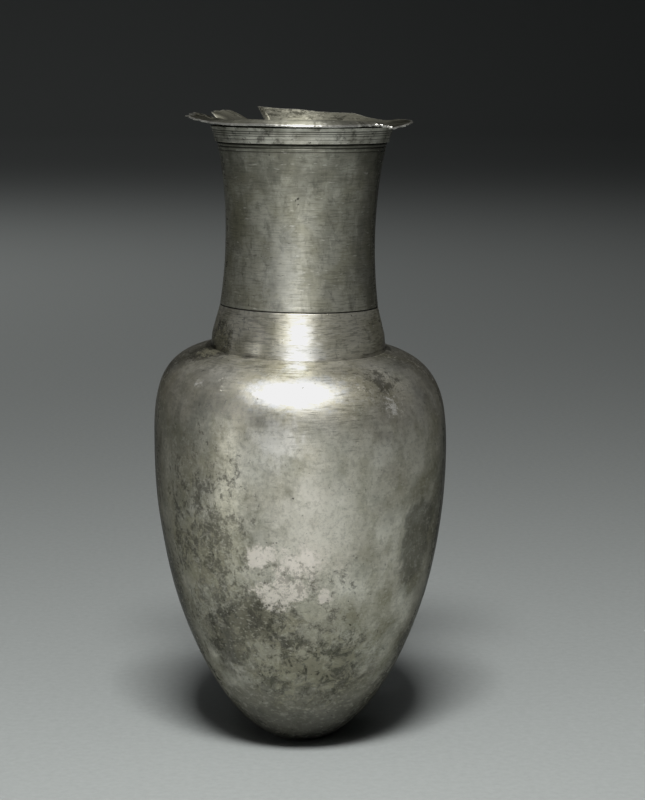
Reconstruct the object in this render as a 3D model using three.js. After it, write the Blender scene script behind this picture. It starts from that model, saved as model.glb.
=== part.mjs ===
// Amphoriskos of sheet silver: a pointed ovoid jar without handles that stands on a small flat.
// The neck is made up of a collar, a tube with a thin turned-out lip, and a moulded band.
// Millimetres, +Z up. The origin is the middle of the flat that the jar stands on.
import * as THREE from 'three';

// Body shell
const baseRadius = 7.5;
const bodyRadius = 40.6;
const bodyRadiusHeight = 83;
const shoulderRise = 28.3;
const bodyWall = 0.9;
const baseWall = 2.4;
const baseWallRise = 40;
const socketHeight = 4.5;
const socketWall = 0.8;

// How the body's outline leaves the base and the shoulder: degrees, and shares of the span
const baseAngle = 23;
const baseFullness = 0.556;
const bellyFullness = 0.488;
const shoulderAngle = 14.6;
const shoulderFullness = 0.505;
const seatFullness = 0.943;

// Collar
const collarRadius = 23.8;
const collarFootFlare = 0.9;
const collarHeight = 10.6;
const collarFootHeight = 0.9;
const collarSwell = 0.35;
const collarWall = 0.9;

// Neck tube, which starts at the collar's top
const seamRadius = 21.8;
const neckTopRadius = 23.3;
const neckLength = 44.4;
const neckFootSlope = -0.14;
const neckTopSlope = 0.25;
const neckFootPull = 14.5;
const neckTopPull = 12.5;
const neckWall = 0.75;
const spigotLength = 4;
const spigotWall = 0.8;

// Moulded band in its rebate under the lip
const rebateDepth = 1;
const rebateWall = 0.8;
const bandHeight = 3.8;
const bandFootProud = 0.7;
const bandTopProud = 1.5;
const bandEdge = 0.4;

// Lip
const lipOverhang = 7;
const lipRise = 1.8;
const lipWall = 0.6;

// Solder rings, and the gap between a wall and the one that fits inside it
const seamThickness = 0.3;
const seamRecess = 0.25;
const clearance = 0.3;

// The neck stands a little off the body's axis, and leans to the right as it rises
const neckOffset = -0.6;
const neckLean = 0.02;

// The shoulder is tipped down to the right, except close round the collar
const shoulderTip = 0.028;
const shoulderTipReach = 8;

// Dents in the body: degrees round from +X, height, depth, and half width and half height
const dents = [
  { azimuth: -48, height: 103, depth: 0.7, across: 9, up: 9 },
  { azimuth: -32, height: 74, depth: 0.9, across: 14, up: 20 },
];

// The torn edge of the lip, going round from +X: degrees, then shares of the overhang and the rise
const lipTears = [
  [0, 1.13, 0.55],
  [12, 1.2, 0.8],
  [24, 1.12, 0.9],
  [36, 1.0, 0.5],
  [48, 1.0, 0.8],
  [60, 1.0, 1.4],
  [78, 1.0, 1.55],
  [90, 1.02, 1.9],
  [104, 1.06, 2.1],
  [114, 1.2, 2.4],
  [116, 0.14, 0.2],
  [125, 0.14, 0.2],
  [128, 0.95, 1.8],
  [138, 1.06, 1.9],
  [150, 1.0, 1.6],
  [156, 0.98, 1.4],
  [168, 1.3, 1.7],
  [174, 1.2, 1.4],
  [182, 1.36, 1.35],
  [192, 1.15, 1.1],
  [211, 1.0, 1.0],
  [234, 0.95, 1.05],
  [247, 0.92, 1.2],
  [270, 0.95, 0.8],
  [304, 0.95, 0.75],
  [310, 0.66, 0.5],
  [324, 0.62, 0.35],
  [335, 0.7, 0.2],
  [348, 0.92, 0.35],
];

// How finely the outlines and the turning are divided
const turnSteps = 60;
const bodySteps = 10;
const shoulderSteps = 8;
const neckSteps = 7;
const collarSteps = 4;
const lipSteps = 4;

// Heights, from the flat up
const shoulderTop = bodyRadiusHeight + shoulderRise;
const socketTop = shoulderTop + socketHeight;
const collarFoot = shoulderTop + seamThickness;
const collarTop = collarFoot + collarHeight;
const neckFoot = collarTop + seamThickness;
const bandStep = neckFoot + neckLength;
const bandFoot = bandStep + seamThickness;
const bandTop = bandFoot + bandHeight;
const lipRoot = bandTop + clearance;

// Radii that follow from the neighbouring pieces
const collarFootRadius = collarRadius + collarFootFlare;
const bandFootRadius = neckTopRadius + bandFootProud;
const bandTopRadius = neckTopRadius + bandTopProud;
const collarBore = collarRadius - collarWall;
const socketRadius = collarBore - clearance;
const seamBore = seamRadius - collarWall;
const spigotRadius = seamBore - clearance;
const rebateRadius = neckTopRadius - rebateDepth;
const bandBore = rebateRadius + clearance;

const point = (radius, height) => new THREE.Vector2(radius, height);
const degrees = THREE.MathUtils.degToRad;
const smooth = THREE.MathUtils.smoothstep;

// Equally spaced points on a curve, each with the direction that faces out of the vessel
function skin(curve, steps) {
  const marks = [];
  for (let i = 0; i <= steps; i += 1) {
    const along = curve.getTangent(i / steps);
    marks.push({ at: curve.getPoint(i / steps), out: point(along.y, -along.x) });
  }
  return marks;
}

// The sheet is left thick at the base, where the hammer stretched it least
const wallAt = (height) => baseWall + (bodyWall - baseWall) * smooth(height, 0, baseWallRise);

// Sideways place of the vessel's axis at a height
function axisAt(height) {
  const onNeck = Math.max(0, height - shoulderTop);
  return neckOffset * smooth(height, bodyRadiusHeight, shoulderTop) + neckLean * onNeck;
}

// Turns an outline, which may change with the azimuth, into a solid round the vessel's axis
function turned(name, outlineAt, material) {
  const geometry = new THREE.LatheGeometry(outlineAt(0), turnSteps);
  const position = geometry.attributes.position;
  for (let turn = 0, index = 0; turn <= turnSteps; turn += 1) {
    const azimuth = ((turn % turnSteps) / turnSteps) * 2 * Math.PI;
    for (const { x: radius, y: height } of outlineAt(azimuth)) {
      const x = radius * Math.cos(azimuth) + axisAt(height);
      position.setXYZ(index, x, radius * Math.sin(azimuth), height);
      index += 1;
    }
  }
  geometry.computeVertexNormals();
  const mesh = new THREE.Mesh(geometry, material);
  mesh.name = name;
  return mesh;
}

// A ring whose section is a rectangle
const flatRing = (inner, outer, foot, top) => () => [
  point(inner, foot),
  point(outer, foot),
  point(outer, top),
  point(inner, top),
  point(inner, foot),
];

// Body shell
const baseTurn = degrees(baseAngle);
const shoulderTurn = degrees(shoulderAngle);
const basePull = baseFullness * (bodyRadius - baseRadius);
const seatPull = seatFullness * (bodyRadius - collarFootRadius);
const lowerCurve = new THREE.CubicBezierCurve(
  point(baseRadius, 0),
  point(baseRadius + basePull * Math.cos(baseTurn), basePull * Math.sin(baseTurn)),
  point(bodyRadius, bodyRadiusHeight * (1 - bellyFullness)),
  point(bodyRadius, bodyRadiusHeight),
);
const upperCurve = new THREE.CubicBezierCurve(
  point(bodyRadius, bodyRadiusHeight),
  point(bodyRadius, bodyRadiusHeight + shoulderFullness * shoulderRise),
  point(
    collarFootRadius + seatPull * Math.cos(shoulderTurn),
    shoulderTop - seatPull * Math.sin(shoulderTurn),
  ),
  point(collarFootRadius, shoulderTop),
);
const bodySkin = [...skin(lowerCurve, bodySteps), ...skin(upperCurve, shoulderSteps).slice(1)];

// How far a point of the body is moved by the tipped shoulder and the dents
function knocked(at, azimuth) {
  const high = smooth(at.y, bodyRadiusHeight, shoulderTop);
  const clear = smooth(at.x, collarFootRadius, collarFootRadius + shoulderTipReach);
  const moved = point(0, -shoulderTip * at.x * Math.cos(azimuth) * high * clear);
  for (const dent of dents) {
    const turn = azimuth - degrees(dent.azimuth);
    const across = (Math.atan2(Math.sin(turn), Math.cos(turn)) * at.x) / dent.across;
    const up = (at.y - dent.height) / dent.up;
    const nearness = Math.max(0, 1 - across * across - up * up);
    moved.x -= dent.depth * nearness * nearness;
  }
  return moved;
}

function bodyOutline(azimuth) {
  const marks = bodySkin.map(({ at, out }) => ({ at: at.clone().add(knocked(at, azimuth)), out }));
  const socketSlope = (collarRadius - seamRadius) / (collarHeight - collarFootHeight);
  const socketTopRadius = socketRadius - socketSlope * socketHeight;
  return [
    point(0, 0),
    ...marks.map(({ at }) => at),
    point(socketRadius, shoulderTop),
    point(socketTopRadius, socketTop),
    point(socketTopRadius - socketWall, socketTop),
    point(socketRadius - socketWall, shoulderTop - bodyWall),
    ...marks.map(({ at, out }) => at.clone().addScaledVector(out, -wallAt(at.y))).reverse(),
    point(0, baseWall),
  ];
}

// Collar
const collarCurve = new THREE.QuadraticBezierCurve(
  point(collarRadius, collarFoot + collarFootHeight),
  point((collarRadius + seamRadius) / 2 + collarSwell, (collarFoot + collarTop) / 2),
  point(seamRadius, collarTop),
);

function collarOutline() {
  const marks = skin(collarCurve, collarSteps);
  const inside = marks.map(({ at }) => point(at.x - collarWall, at.y));
  return [
    point(collarBore, collarFoot),
    point(collarFootRadius, collarFoot),
    ...marks.map(({ at }) => at),
    ...inside.reverse(),
    point(collarBore, collarFoot),
  ];
}

// Neck tube with its spigot, its rebate and its torn lip
const neckCurve = new THREE.CubicBezierCurve(
  point(seamRadius, neckFoot),
  point(seamRadius + neckFootSlope * neckFootPull, neckFoot + neckFootPull),
  point(neckTopRadius - neckTopSlope * neckTopPull, bandStep - neckTopPull),
  point(neckTopRadius, bandStep),
);

// Shares of the lip's overhang and rise that are left at an azimuth
function lipLeftAt(azimuth) {
  const turn = THREE.MathUtils.radToDeg(azimuth);
  const closed = [...lipTears, [360, ...lipTears[0].slice(1)]];
  const next = closed.findIndex(([at]) => at > turn);
  const from = closed[next - 1];
  const to = closed[next];
  const share = (turn - from[0]) / (to[0] - from[0]);
  const mix = (k) => from[k] + share * (to[k] - from[k]);
  return { overhang: lipOverhang * mix(1), rise: lipRise * mix(2) };
}

function neckOutline(azimuth) {
  const marks = skin(neckCurve, neckSteps);
  const inside = marks.slice(1, -1).map(({ at }) => point(at.x - neckWall, at.y));
  const { overhang, rise } = lipLeftAt(azimuth);
  const lipCurve = new THREE.QuadraticBezierCurve(
    point(rebateRadius, lipRoot),
    point(rebateRadius, lipRoot + rise / 2),
    point(rebateRadius + overhang, lipRoot + rise),
  );
  const lip = skin(lipCurve, lipSteps);
  const lipInside = lip.map(({ at }, k) => {
    const share = k / lipSteps;
    return point(at.x - rebateWall * (1 - share), at.y + lipWall * share);
  });
  return [
    point(spigotRadius - spigotWall, neckFoot - spigotLength),
    point(spigotRadius, neckFoot - spigotLength),
    point(spigotRadius, neckFoot),
    ...marks.map(({ at }) => at),
    point(rebateRadius, bandStep),
    ...lip.map(({ at }) => at),
    ...lipInside.reverse(),
    point(rebateRadius - rebateWall, bandStep - neckWall),
    point(neckTopRadius - neckWall, bandStep - neckWall),
    ...inside.reverse(),
    point(seamRadius - neckWall, neckFoot + neckWall),
    point(spigotRadius - spigotWall, neckFoot + neckWall),
    point(spigotRadius - spigotWall, neckFoot - spigotLength),
  ];
}

// Moulded band
const bandOutline = () => [
  point(bandBore, bandFoot),
  point(bandFootRadius - bandEdge / 2, bandFoot),
  point(bandFootRadius, bandFoot + bandEdge),
  point(bandTopRadius, bandTop - bandEdge),
  point(bandTopRadius - bandEdge, bandTop),
  point(bandBore, bandTop),
  point(bandBore, bandFoot),
];

// Finishes
const silver = (color, roughness) => new THREE.MeshStandardMaterial({ color, roughness, metalness: 1 });
const bodySilver = silver(0xa9a698, 0.34);
const collarSilver = silver(0xb2afa2, 0.3);
const neckSilver = silver(0xa3a195, 0.36);
const bandSilver = silver(0x9a988b, 0.38);
const solder = () => silver(0x5d5b53, 0.6);

// Solder rings, each a little back from the surface that shows
const shoulderSeam = flatRing(collarBore, collarFootRadius - seamRecess, shoulderTop, collarFoot);
const collarSeam = flatRing(seamBore, seamRadius - seamRecess, collarTop, neckFoot);
const bandSeam = flatRing(bandBore, neckTopRadius - seamRecess, bandStep, bandFoot);

const amphoriskos = new THREE.Group();
amphoriskos.add(
  turned('body_shell', bodyOutline, bodySilver),
  turned('neck_collar', collarOutline, collarSilver),
  turned('neck_tube', neckOutline, neckSilver),
  turned('rim_band', bandOutline, bandSilver),
  turned('shoulder_seam_solder', shoulderSeam, solder()),
  turned('collar_seam_solder', collarSeam, solder()),
  turned('rim_band_solder', bandSeam, solder()),
);

export default amphoriskos;
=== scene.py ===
# Amphoriskos of tarnished sheet silver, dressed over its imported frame
import math

import bmesh
import bpy
from mathutils import Matrix, Vector, noise
from mathutils.geometry import interpolate_bezier


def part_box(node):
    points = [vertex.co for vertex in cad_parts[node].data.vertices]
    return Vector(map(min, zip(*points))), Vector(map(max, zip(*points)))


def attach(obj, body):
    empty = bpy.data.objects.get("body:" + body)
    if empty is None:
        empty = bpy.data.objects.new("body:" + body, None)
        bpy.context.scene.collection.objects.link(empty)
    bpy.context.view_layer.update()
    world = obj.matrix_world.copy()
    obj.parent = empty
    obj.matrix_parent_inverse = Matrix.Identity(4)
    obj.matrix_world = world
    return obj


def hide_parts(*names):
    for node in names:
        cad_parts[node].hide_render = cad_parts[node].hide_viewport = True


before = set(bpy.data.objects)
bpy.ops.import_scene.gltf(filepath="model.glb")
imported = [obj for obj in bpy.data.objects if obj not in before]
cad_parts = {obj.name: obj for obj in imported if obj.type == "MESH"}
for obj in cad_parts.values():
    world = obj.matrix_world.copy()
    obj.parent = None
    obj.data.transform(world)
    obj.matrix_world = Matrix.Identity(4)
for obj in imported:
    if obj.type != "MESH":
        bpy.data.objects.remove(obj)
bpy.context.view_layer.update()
mm = 0.001
sharpAngle = 50                 # degrees between two faces past which their edge stays sharp


# Sizes that come from the frame, in millimetres
def spanOf(node):
    low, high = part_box(node)
    return low[2] / mm, high[2] / mm


def halfWidthOf(node):
    low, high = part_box(node)
    return (high[1] - low[1]) / 2 / mm


shoulderTop, collarFoot = spanOf("shoulder_seam_solder")
collarTop, neckFoot = spanOf("collar_seam_solder")
bandStep, bandFoot = spanOf("rim_band_solder")
bandTop = spanOf("rim_band")[1]
socketTop = spanOf("body_shell")[1]
spigotFoot = spanOf("neck_tube")[0]
bodyRadius = halfWidthOf("body_shell")
collarFootRadius = halfWidthOf("neck_collar")
bandTopRadius = halfWidthOf("rim_band")
print("frame read, neck foot at", round(neckFoot, 2), "mm")


# Small helpers for shapes
def smooth(value, low, high):
    t = min(max((value - low) / (high - low), 0), 1)
    return t * t * (3 - 2 * t)


def between(value, marks):
    # straight-line reading between (place, amount) marks
    for (a, fromA), (b, toB) in zip(marks, marks[1:]):
        if value <= b:
            share = max(0, (value - a) / (b - a))
            return fromA + share * (toB - fromA)
    return marks[-1][1]


def curve(start, pullA, pullB, end, points):
    flat = [Vector((r, z, 0)) for r, z in (start, pullA, pullB, end)]
    return [(p.x, p.y) for p in interpolate_bezier(*flat, points)]


def pushedIn(outline, wallAt):
    # the same line moved in by the sheet's thickness
    moved = []
    for i, (r, z) in enumerate(outline):
        r0, z0 = outline[max(i - 1, 0)]
        r1, z1 = outline[min(i + 1, len(outline) - 1)]
        along = math.hypot(r1 - r0, z1 - z0)
        wall = wallAt(z)
        moved.append((r - wall * (z1 - z0) / along, z + wall * (r1 - r0) / along))
    return moved


def grooved(outline, grooves):
    # cuts each (height, half width, depth) groove into a line that runs upwards
    for height, half, depth in grooves:
        cut = [(between(z, [(b, a) for a, b in outline]) - d, z) for z, d in (
            (height - half, 0), (height - half / 2, depth * 0.75), (height, depth),
            (height + half / 2, depth * 0.75), (height + half, 0))]
        below = [p for p in outline if p[1] < height - half]
        above = [p for p in outline if p[1] > height + half]
        outline = below + cut + above
    return outline


def scored(outline, lines):
    # cuts each (radius, half width, depth) line into a shoulder that runs up and inwards
    for radius, half, depth in lines:
        marks = sorted(outline)
        cut = [(r, between(r, marks) - d) for r, d in (
            (radius + half, 0), (radius, depth), (radius - half, 0))]
        before = [p for p in outline if p[0] > radius + half]
        outline = before + cut + [p for p in outline if p[0] < radius - half]
    return outline


def dirtIn(grooves):
    # how much old dirt lies at a height, most in the bottom of each groove
    def amount(co):
        return max(max(0, 1 - abs(co.z - height) / half) for height, half, depth in grooves)
    return amount


# How the old vessel is bent: the neck's lean, the tipped shoulder, and the dents
wear = {
    "girthHeight": 83.0,        # widest height, in mm
    "footClear": (3, 14),       # mm up from the floor over which the waves set in
    "seatClear": (3.0, 0.5),    # mm below the collar over which they die out again
    "neckOffset": -0.6,         # mm, the neck's foot off the body's axis
    "neckLean": 0.02,           # mm sideways for each mm up
    "tips": [(83.0, 0.0), (111.3, 0.028), (122.3, 0.019), (167.0, 0.006)],
    "forwardTips": [(95.0, 0.0), (111.3, 0.04), (122.3, 0.0)],
    "rippleSize": 17.0,         # mm between the soft waves of the raised sheet
    "rippleDepth": 0.16,
    "hammerSize": 5.0,          # mm between hammer marks that were never planished out
    "hammerDepth": 0.022,
    "lumpPlace": (-22.4, -8.3, 113.6),      # lumps of solder left on the joint's left side
    "lumpReach": 7.0,
    "lumpSize": 1.7,            # mm across each lump
    "lumpHeight": 0.28,
    "patchSize": 6.0,           # mm between patches of dirt in the shoulder's lines
    "thinOutSize": 4.0,             # mm between the ragged places where the dirt and painted shade thin out
    "thinOut": 0.9,                 # share of the dirt and painted shade that is gone there
}
dents = [                       # degrees round from +X, height, depth, half width, half height, in mm
    (-48, 103, 0.70, 9, 9),
    (-31, 63, 1.30, 13, 19),
    (-136, 104, 0.30, 3, 3),
    (-55, 92.3, 0.22, 4, 2.4),
]


def leanAt(height):
    onNeck = max(0, height - shoulderTop)
    foot = wear["neckOffset"] * smooth(height, wear["girthHeight"], shoulderTop)
    return foot + wear["neckLean"] * onNeck


def bent(co):
    # where the axis's lean and the tipped mouldings take a point
    tip = between(co.z, wear["tips"])
    forward = between(co.z, wear["forwardTips"])
    return Vector((co.x + leanAt(co.z), co.y, co.z - tip * co.x + forward * co.y))


def ripple(co, share):
    slow = noise.noise(co / wear["rippleSize"]) * wear["rippleDepth"]
    fast = noise.noise(co / wear["hammerSize"]) * wear["hammerDepth"]
    return (slow + fast) * share


def solderLump(co):
    # the rough place at the left of the joint between shoulder and collar
    near = max(0, 1 - (co - Vector(wear["lumpPlace"])).length / wear["lumpReach"])
    return wear["lumpHeight"] * near * (0.5 + noise.noise(co / wear["lumpSize"]))


def dirtAndShadeLeft(co, radius):
    # how much of the dirt and painted shade stays: least at the front, in ragged patches
    return 1 - wear["thinOut"] * smooth(noise.noise(co / wear["thinOutSize"]) - co.y / radius, 0.0, 0.8)


def dentAt(azimuth, radius, height):
    depth = 0
    for where, level, deep, across, up in dents:
        turn = azimuth - math.radians(where)
        side = math.atan2(math.sin(turn), math.cos(turn)) * radius / across
        rise = (height - level) / up
        near = max(0, 1 - side * side - rise * rise)
        depth += deep * near * near
    return depth


def movedOut(co, amount):
    share = 1 + amount / max(math.hypot(co.x, co.y), 1)
    return Vector((co.x * share, co.y * share, co.z))


def turnPiece(name, outline, steps, shape, insideFrom=None, dirtAndShadeAt=None, wearAndHighlightAt=None):
    # outline points are (radius, height) or (radius, height, corner radius), in mm, up the outside
    # and then, from the point numbered insideFrom, down the inside
    bm = bmesh.new()
    along, inside, dirtAndShade, wearAndHighlight = [bm.verts.layers.float.new(layer) for layer in
                                  ("along", "inside", "dirtAndShade", "wearAndHighlight")]
    marks = [bm.verts.new((p[0], 0, p[1])) for p in outline]
    for k, mark in enumerate(marks):
        mark[inside] = float(insideFrom is not None and k >= insideFrom)
    ring = marks + marks[:1] if outline[0][0] > 0 else marks
    for a, b in zip(ring, ring[1:]):
        bm.edges.new((a, b))
    length = 0
    for k, mark in enumerate(marks):
        length += (mark.co - marks[max(k - 1, 0)].co).length
        mark[along] = length
    for mark, p in zip(marks, outline):
        if len(p) > 2:
            bmesh.ops.bevel(bm, geom=[mark], offset=p[2], offset_type="OFFSET", segments=3,
                            profile=0.5, affect="VERTICES", material=-1)
    wedges = 12                 # turned as one wedge, then copied round, which is much quicker
    sameMark = 0.001            # mm between points that are one
    bmesh.ops.spin(bm, geom=bm.verts[:] + bm.edges[:], cent=(0, 0, 0), axis=(0, 0, 1),
                   angle=math.tau / wedges, steps=steps // wedges)
    wedge = bm.verts[:] + bm.edges[:] + bm.faces[:]
    for k in range(1, wedges):
        copy = bmesh.ops.duplicate(bm, geom=wedge)["geom"]
        bmesh.ops.rotate(bm, cent=(0, 0, 0), matrix=Matrix.Rotation(math.tau * k / wedges, 3, "Z"),
                         verts=[g for g in copy if isinstance(g, bmesh.types.BMVert)])
    bmesh.ops.remove_doubles(bm, verts=bm.verts, dist=sameMark)
    for vert in bm.verts:
        vert[dirtAndShade] = dirtAndShadeAt(vert.co) * (1 - vert[inside]) if dirtAndShadeAt else 0
        vert[wearAndHighlight] = wearAndHighlightAt(vert.co) if wearAndHighlightAt else 0
        vert.co = shape(vert.co)
    bmesh.ops.recalc_face_normals(bm, faces=bm.faces)
    bmesh.ops.scale(bm, vec=(mm, mm, mm), verts=bm.verts)
    for face in bm.faces:
        face.smooth = True
    mesh = bpy.data.meshes.new(name)
    bm.to_mesh(mesh)
    bm.free()
    mesh.set_sharp_from_angle(angle=math.radians(sharpAngle))
    piece = bpy.data.objects.new(name, mesh)
    bpy.context.scene.collection.objects.link(piece)
    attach(piece, "root")
    print(name, len(mesh.polygons), "faces")
    return piece


# Body shell, raised from one disc of sheet
body = {
    "baseRadius": 7.5,
    "wall": 0.9,
    "baseWall": 2.4,            # left thick at the foot, and thinning over the next 40 mm
    "baseWallRise": 40.0,
    "baseAngle": 23.0,          # degrees up from the floor where the side starts
    "basePull": 18.4,           # mm, how far each end of the side's curve holds its direction
    "girthPull": 40.5,
    "shoulderPull": 14.3,
    "seatAngle": 10.5,
    "seatPull": 15.0,
    "seatSink": 0.6,            # mm that the shoulder has settled round the collar
    "socketFoot": 22.6,
    "socketTopRadius": 21.7,
    "socketWall": 0.8,
    "lines": [(32.6, 0.16, 0.025), (31.4, 0.2, 0.05), (30.5, 0.2, 0.06), (29.4, 0.16, 0.03),
              (26.6, 0.16, 0.02)],      # turned lines on the shoulder: radius, half width, depth
    "dirtAndShadeRim": (0.7, 1.8),      # mm out from the collar over which its ring of dirt and painted shade ends
    "lumpRim": (1.1, 2.2),      # mm out from the collar over which the lumps of solder set in
    "lowerPoints": 96,          # marks up the side to the girth, and over the shoulder
    "upperPoints": 56,
    "steps": 360,
}


def makeBody():
    base = math.radians(body["baseAngle"])
    seat = math.radians(body["seatAngle"])
    seatTop = shoulderTop - body["seatSink"]
    girth = wear["girthHeight"]
    lower = curve((body["baseRadius"], 0),
                  (body["baseRadius"] + body["basePull"] * math.cos(base), body["basePull"] * math.sin(base)),
                  (bodyRadius, girth - body["girthPull"]), (bodyRadius, girth), body["lowerPoints"])
    upper = curve((bodyRadius, girth), (bodyRadius, girth + body["shoulderPull"]),
                  (collarFootRadius + body["seatPull"] * math.cos(seat),
                   seatTop - body["seatPull"] * math.sin(seat)),
                  (collarFootRadius, seatTop), body["upperPoints"])
    outside = lower + scored(upper[1:], body["lines"])

    def wallAt(height):
        return body["baseWall"] + (body["wall"] - body["baseWall"]) * smooth(height, 0, body["baseWallRise"])

    inside = pushedIn(outside[::3], wallAt)
    foot, top, wall = body["socketFoot"], body["socketTopRadius"], body["socketWall"]
    outline = [(0, 0), (body["baseRadius"] / 2, 0), *outside, (foot, seatTop), (top, socketTop),
               (top - wall, socketTop), (foot - wall, seatTop - body["wall"]),
               *inside[::-1], (0, body["baseWall"])]

    def pastCollar(radius, rim):
        return smooth(radius, collarFootRadius + rim[0], collarFootRadius + rim[1])

    def shape(co):
        radius = math.hypot(co.x, co.y)
        azimuth = math.atan2(co.y, co.x)
        fade, gone = wear["seatClear"]
        share = smooth(co.z, *wear["footClear"]) * (1 - smooth(co.z, shoulderTop - fade, shoulderTop - gone))
        outward = ripple(co, share) - dentAt(azimuth, radius, co.z)
        lump = solderLump(co) * pastCollar(radius, body["lumpRim"])
        return bent(movedOut(co, outward) + Vector((0, 0, lump)))

    def dirtAndShadeAt(co):
        # dirt and painted shade at the foot of the collar, least at the front, and dirt in the turned lines
        radius = math.hypot(co.x, co.y)
        foot = 1 - pastCollar(radius, body["dirtAndShadeRim"])
        lines = max(max(0, 1 - abs(radius - place) / half) for place, half, depth in body["lines"])
        patchy = smooth(noise.noise(co / wear["patchSize"]), -0.3, 0.4)
        return max(foot * dirtAndShadeLeft(co, max(radius, 1)), 0.7 * lines * patchy) * (co.z > girth)

    return turnPiece("bodyShell", outline, body["steps"], shape, len(outside) + 4, dirtAndShadeAt)


# Collar: the flared foot of the neck
collar = {
    "radius": 23.8,
    "footHeight": 3.0,
    "swell": -0.02,             # mm that its side bellies out; below 0 it is hollow
    "flare": 0.5,               # mm that the foot splays over its last 3 mm
    "footGap": 0.15,            # mm between the splayed foot and the shoulder under it
    "covePulls": ((-0.25, 0.6), (0.12, -1.1)),      # mm across and up, which hold the foot's hollow curve
    "covePoints": 12,
    "sidePoints": 30,
    "wall": 0.9,
    "edge": 0.2,                # mm, softened edge
    "grooves": [(116.6, 0.2, 0.01), (120.9, 0.2, 0.015)],
    "steps": 360,
}
seamRadius = 21.8               # where the collar's side and the neck's meet


def makeCollar():
    radius, swell, wall = collar["radius"], collar["swell"], collar["wall"]
    low = collarFoot + collar["footHeight"]
    middle = ((radius + seamRadius) / 2 + swell, (low + collarTop) / 2)
    pullA = (radius + (middle[0] - radius) * 2 / 3, low + (middle[1] - low) * 2 / 3)
    pullB = (seamRadius + (middle[0] - seamRadius) * 2 / 3, collarTop + (middle[1] - collarTop) * 2 / 3)
    side = curve((radius, low), pullA, pullB, (seamRadius, collarTop), collar["sidePoints"])
    side = grooved(side, collar["grooves"])
    foot = radius + collar["flare"]
    # the splayed foot reaches down over the solder, as far as the sloping shoulder lets it
    slope = math.tan(math.radians(body["seatAngle"]))
    rest = shoulderTop - body["seatSink"] - collar["flare"] * slope + collar["footGap"]
    (outA, upA), (outB, upB) = collar["covePulls"]
    cove = curve((foot, rest), (foot + outA, rest + upA), (radius + outB, low + upB), (radius, low),
                 collar["covePoints"])
    outline = [(radius - wall, collarFoot), (radius, collarFoot), *cove[:-1], *side[:-1],
               (seamRadius, collarTop, collar["edge"]), (seamRadius - wall, collarTop),
               *[(r - wall, z) for r, z in side[-4:0:-4]]]

    def shape(co):
        lump = solderLump(co) * smooth(co.z, collarFoot + 0.2, collarFoot + 1.5)
        return bent(movedOut(co, lump * (math.hypot(co.x, co.y) > radius - 3)))

    # painted shade and dirt in the joints at its foot and top, and dirt in its grooves
    def dirtAndShadeAt(co):
        foot = (1 - smooth(co.z, collarFoot - 0.2, collarFoot + 0.4)) * dirtAndShadeLeft(co, collar["radius"])
        return max(foot, smooth(co.z, collarTop - 0.06, collarTop), 0.15 * dirtIn(collar["grooves"])(co))

    bore = 1 + collar["covePoints"] + len(side)
    return turnPiece("neckCollar", outline, collar["steps"], shape, bore, dirtAndShadeAt)


# Neck tube, one sheet from the spigot inside the collar to the torn lip
neck = {
    "topRadius": 23.3,
    "wall": 0.75,
    "footSlope": -0.14,
    "topSlope": 0.25,
    "footPull": 14.5,
    "topPull": 12.5,
    "spigotRadius": 20.6,
    "spigotWall": 0.8,
    "rebateRadius": 22.3,
    "rebateWall": 0.8,
    "edge": 0.08,
    "grooves": [(124.0, 0.2, 0.012), (165.0, 0.2, 0.04), (166.1, 0.28, 0.14)],
    "rippleShare": 0.45,        # how wavy it is beside the body
    "rippleRise": 8,            # mm above its foot where the waves are in full
    "sidePoints": 64,
    "steps": 480,
}
lip = {
    "gap": 0.3,                 # mm over the band
    "overhang": 7.0,
    "rise": 1.8,
    "wall": 0.42,
    "edge": 0.14,               # mm, softened edge
    "wave": 0.06,               # mm, how the thin sheet ripples
    "raise": 2.5,               # mm that its rags stand up and hang down, times the tear
    "rags": [(9, 1.0), (31, 0.8), (80, 0.6)],       # how many to the radian, and how deep, beside each other
    "brightEdgeFrom": 0.93,         # share of its width past which the edge is worn bright and painted with a highlight
    "points": 20,
}
# The torn lip: degrees round from +X, then the shares of the overhang and of the rise at its edge,
# how high it arches before the edge, and how far the tear wanders
lipTears = [
    (0, 1.13, 0.55, 0, 0.08), (12, 1.15, 0.7, 0, 0.08), (24, 1.08, 0.7, 0, 0.06),
    (36, 0.98, 0.45, 0, 0.05), (48, 1.0, 0.7, 0, 0.05), (60, 1.0, 1.4, 0, 0.04),
    (78, 1.0, 1.55, 0, 0.04), (90, 1.02, 1.9, 0, 0.04), (104, 1.06, 2.1, 0, 0.05),
    (114, 1.3, 2.4, 0, 0.06), (116, 0.14, 0.2, 0, 0.05), (125, 0.14, 0.2, 0, 0.05),
    (127.5, 0.9, 0.7, 0, 0.1), (133, 1.0, 1.85, 0, 0.1), (138, 1.06, 1.9, 0, 0.12),
    (150, 1.02, 1.65, 0, 0.14), (153, 0.66, 0.8, 0, 0.12), (160, 0.64, 0.7, 0, 0.12),
    (164, 1.1, 1.5, 0, 0.14), (168, 1.3, 1.7, 0, 0.14), (174, 1.12, 1.3, 0, 0.14),
    (182, 1.36, 1.35, 0, 0.14), (190, 1.1, 0.95, 0, 0.1), (198, 0.66, 0.5, 0.5, 0.05),
    (225, 0.55, 0.3, 0.95, 0.03), (242, 0.5, 0.35, 0.9, 0.015), (252, 0.5, 0.3, 0.95, 0.01),
    (268, 0.5, 0.2, 1.05, 0.01), (285, 0.5, 0.18, 1.05, 0.01), (304, 0.48, 0.22, 0.85, 0.02),
    (312, 0.36, 0.3, 0.7, 0.12), (324, 0.42, 0.28, 0.6, 0.18), (336, 0.42, -0.05, 0.5, 0.18),
    (343, 0.48, -0.35, 0.3, 0.14), (350, 0.8, 0.1, 0.05, 0.1), (354, 0.97, 0.35, 0, 0.08),
    (360, 1.13, 0.55, 0, 0.08),
]


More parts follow.
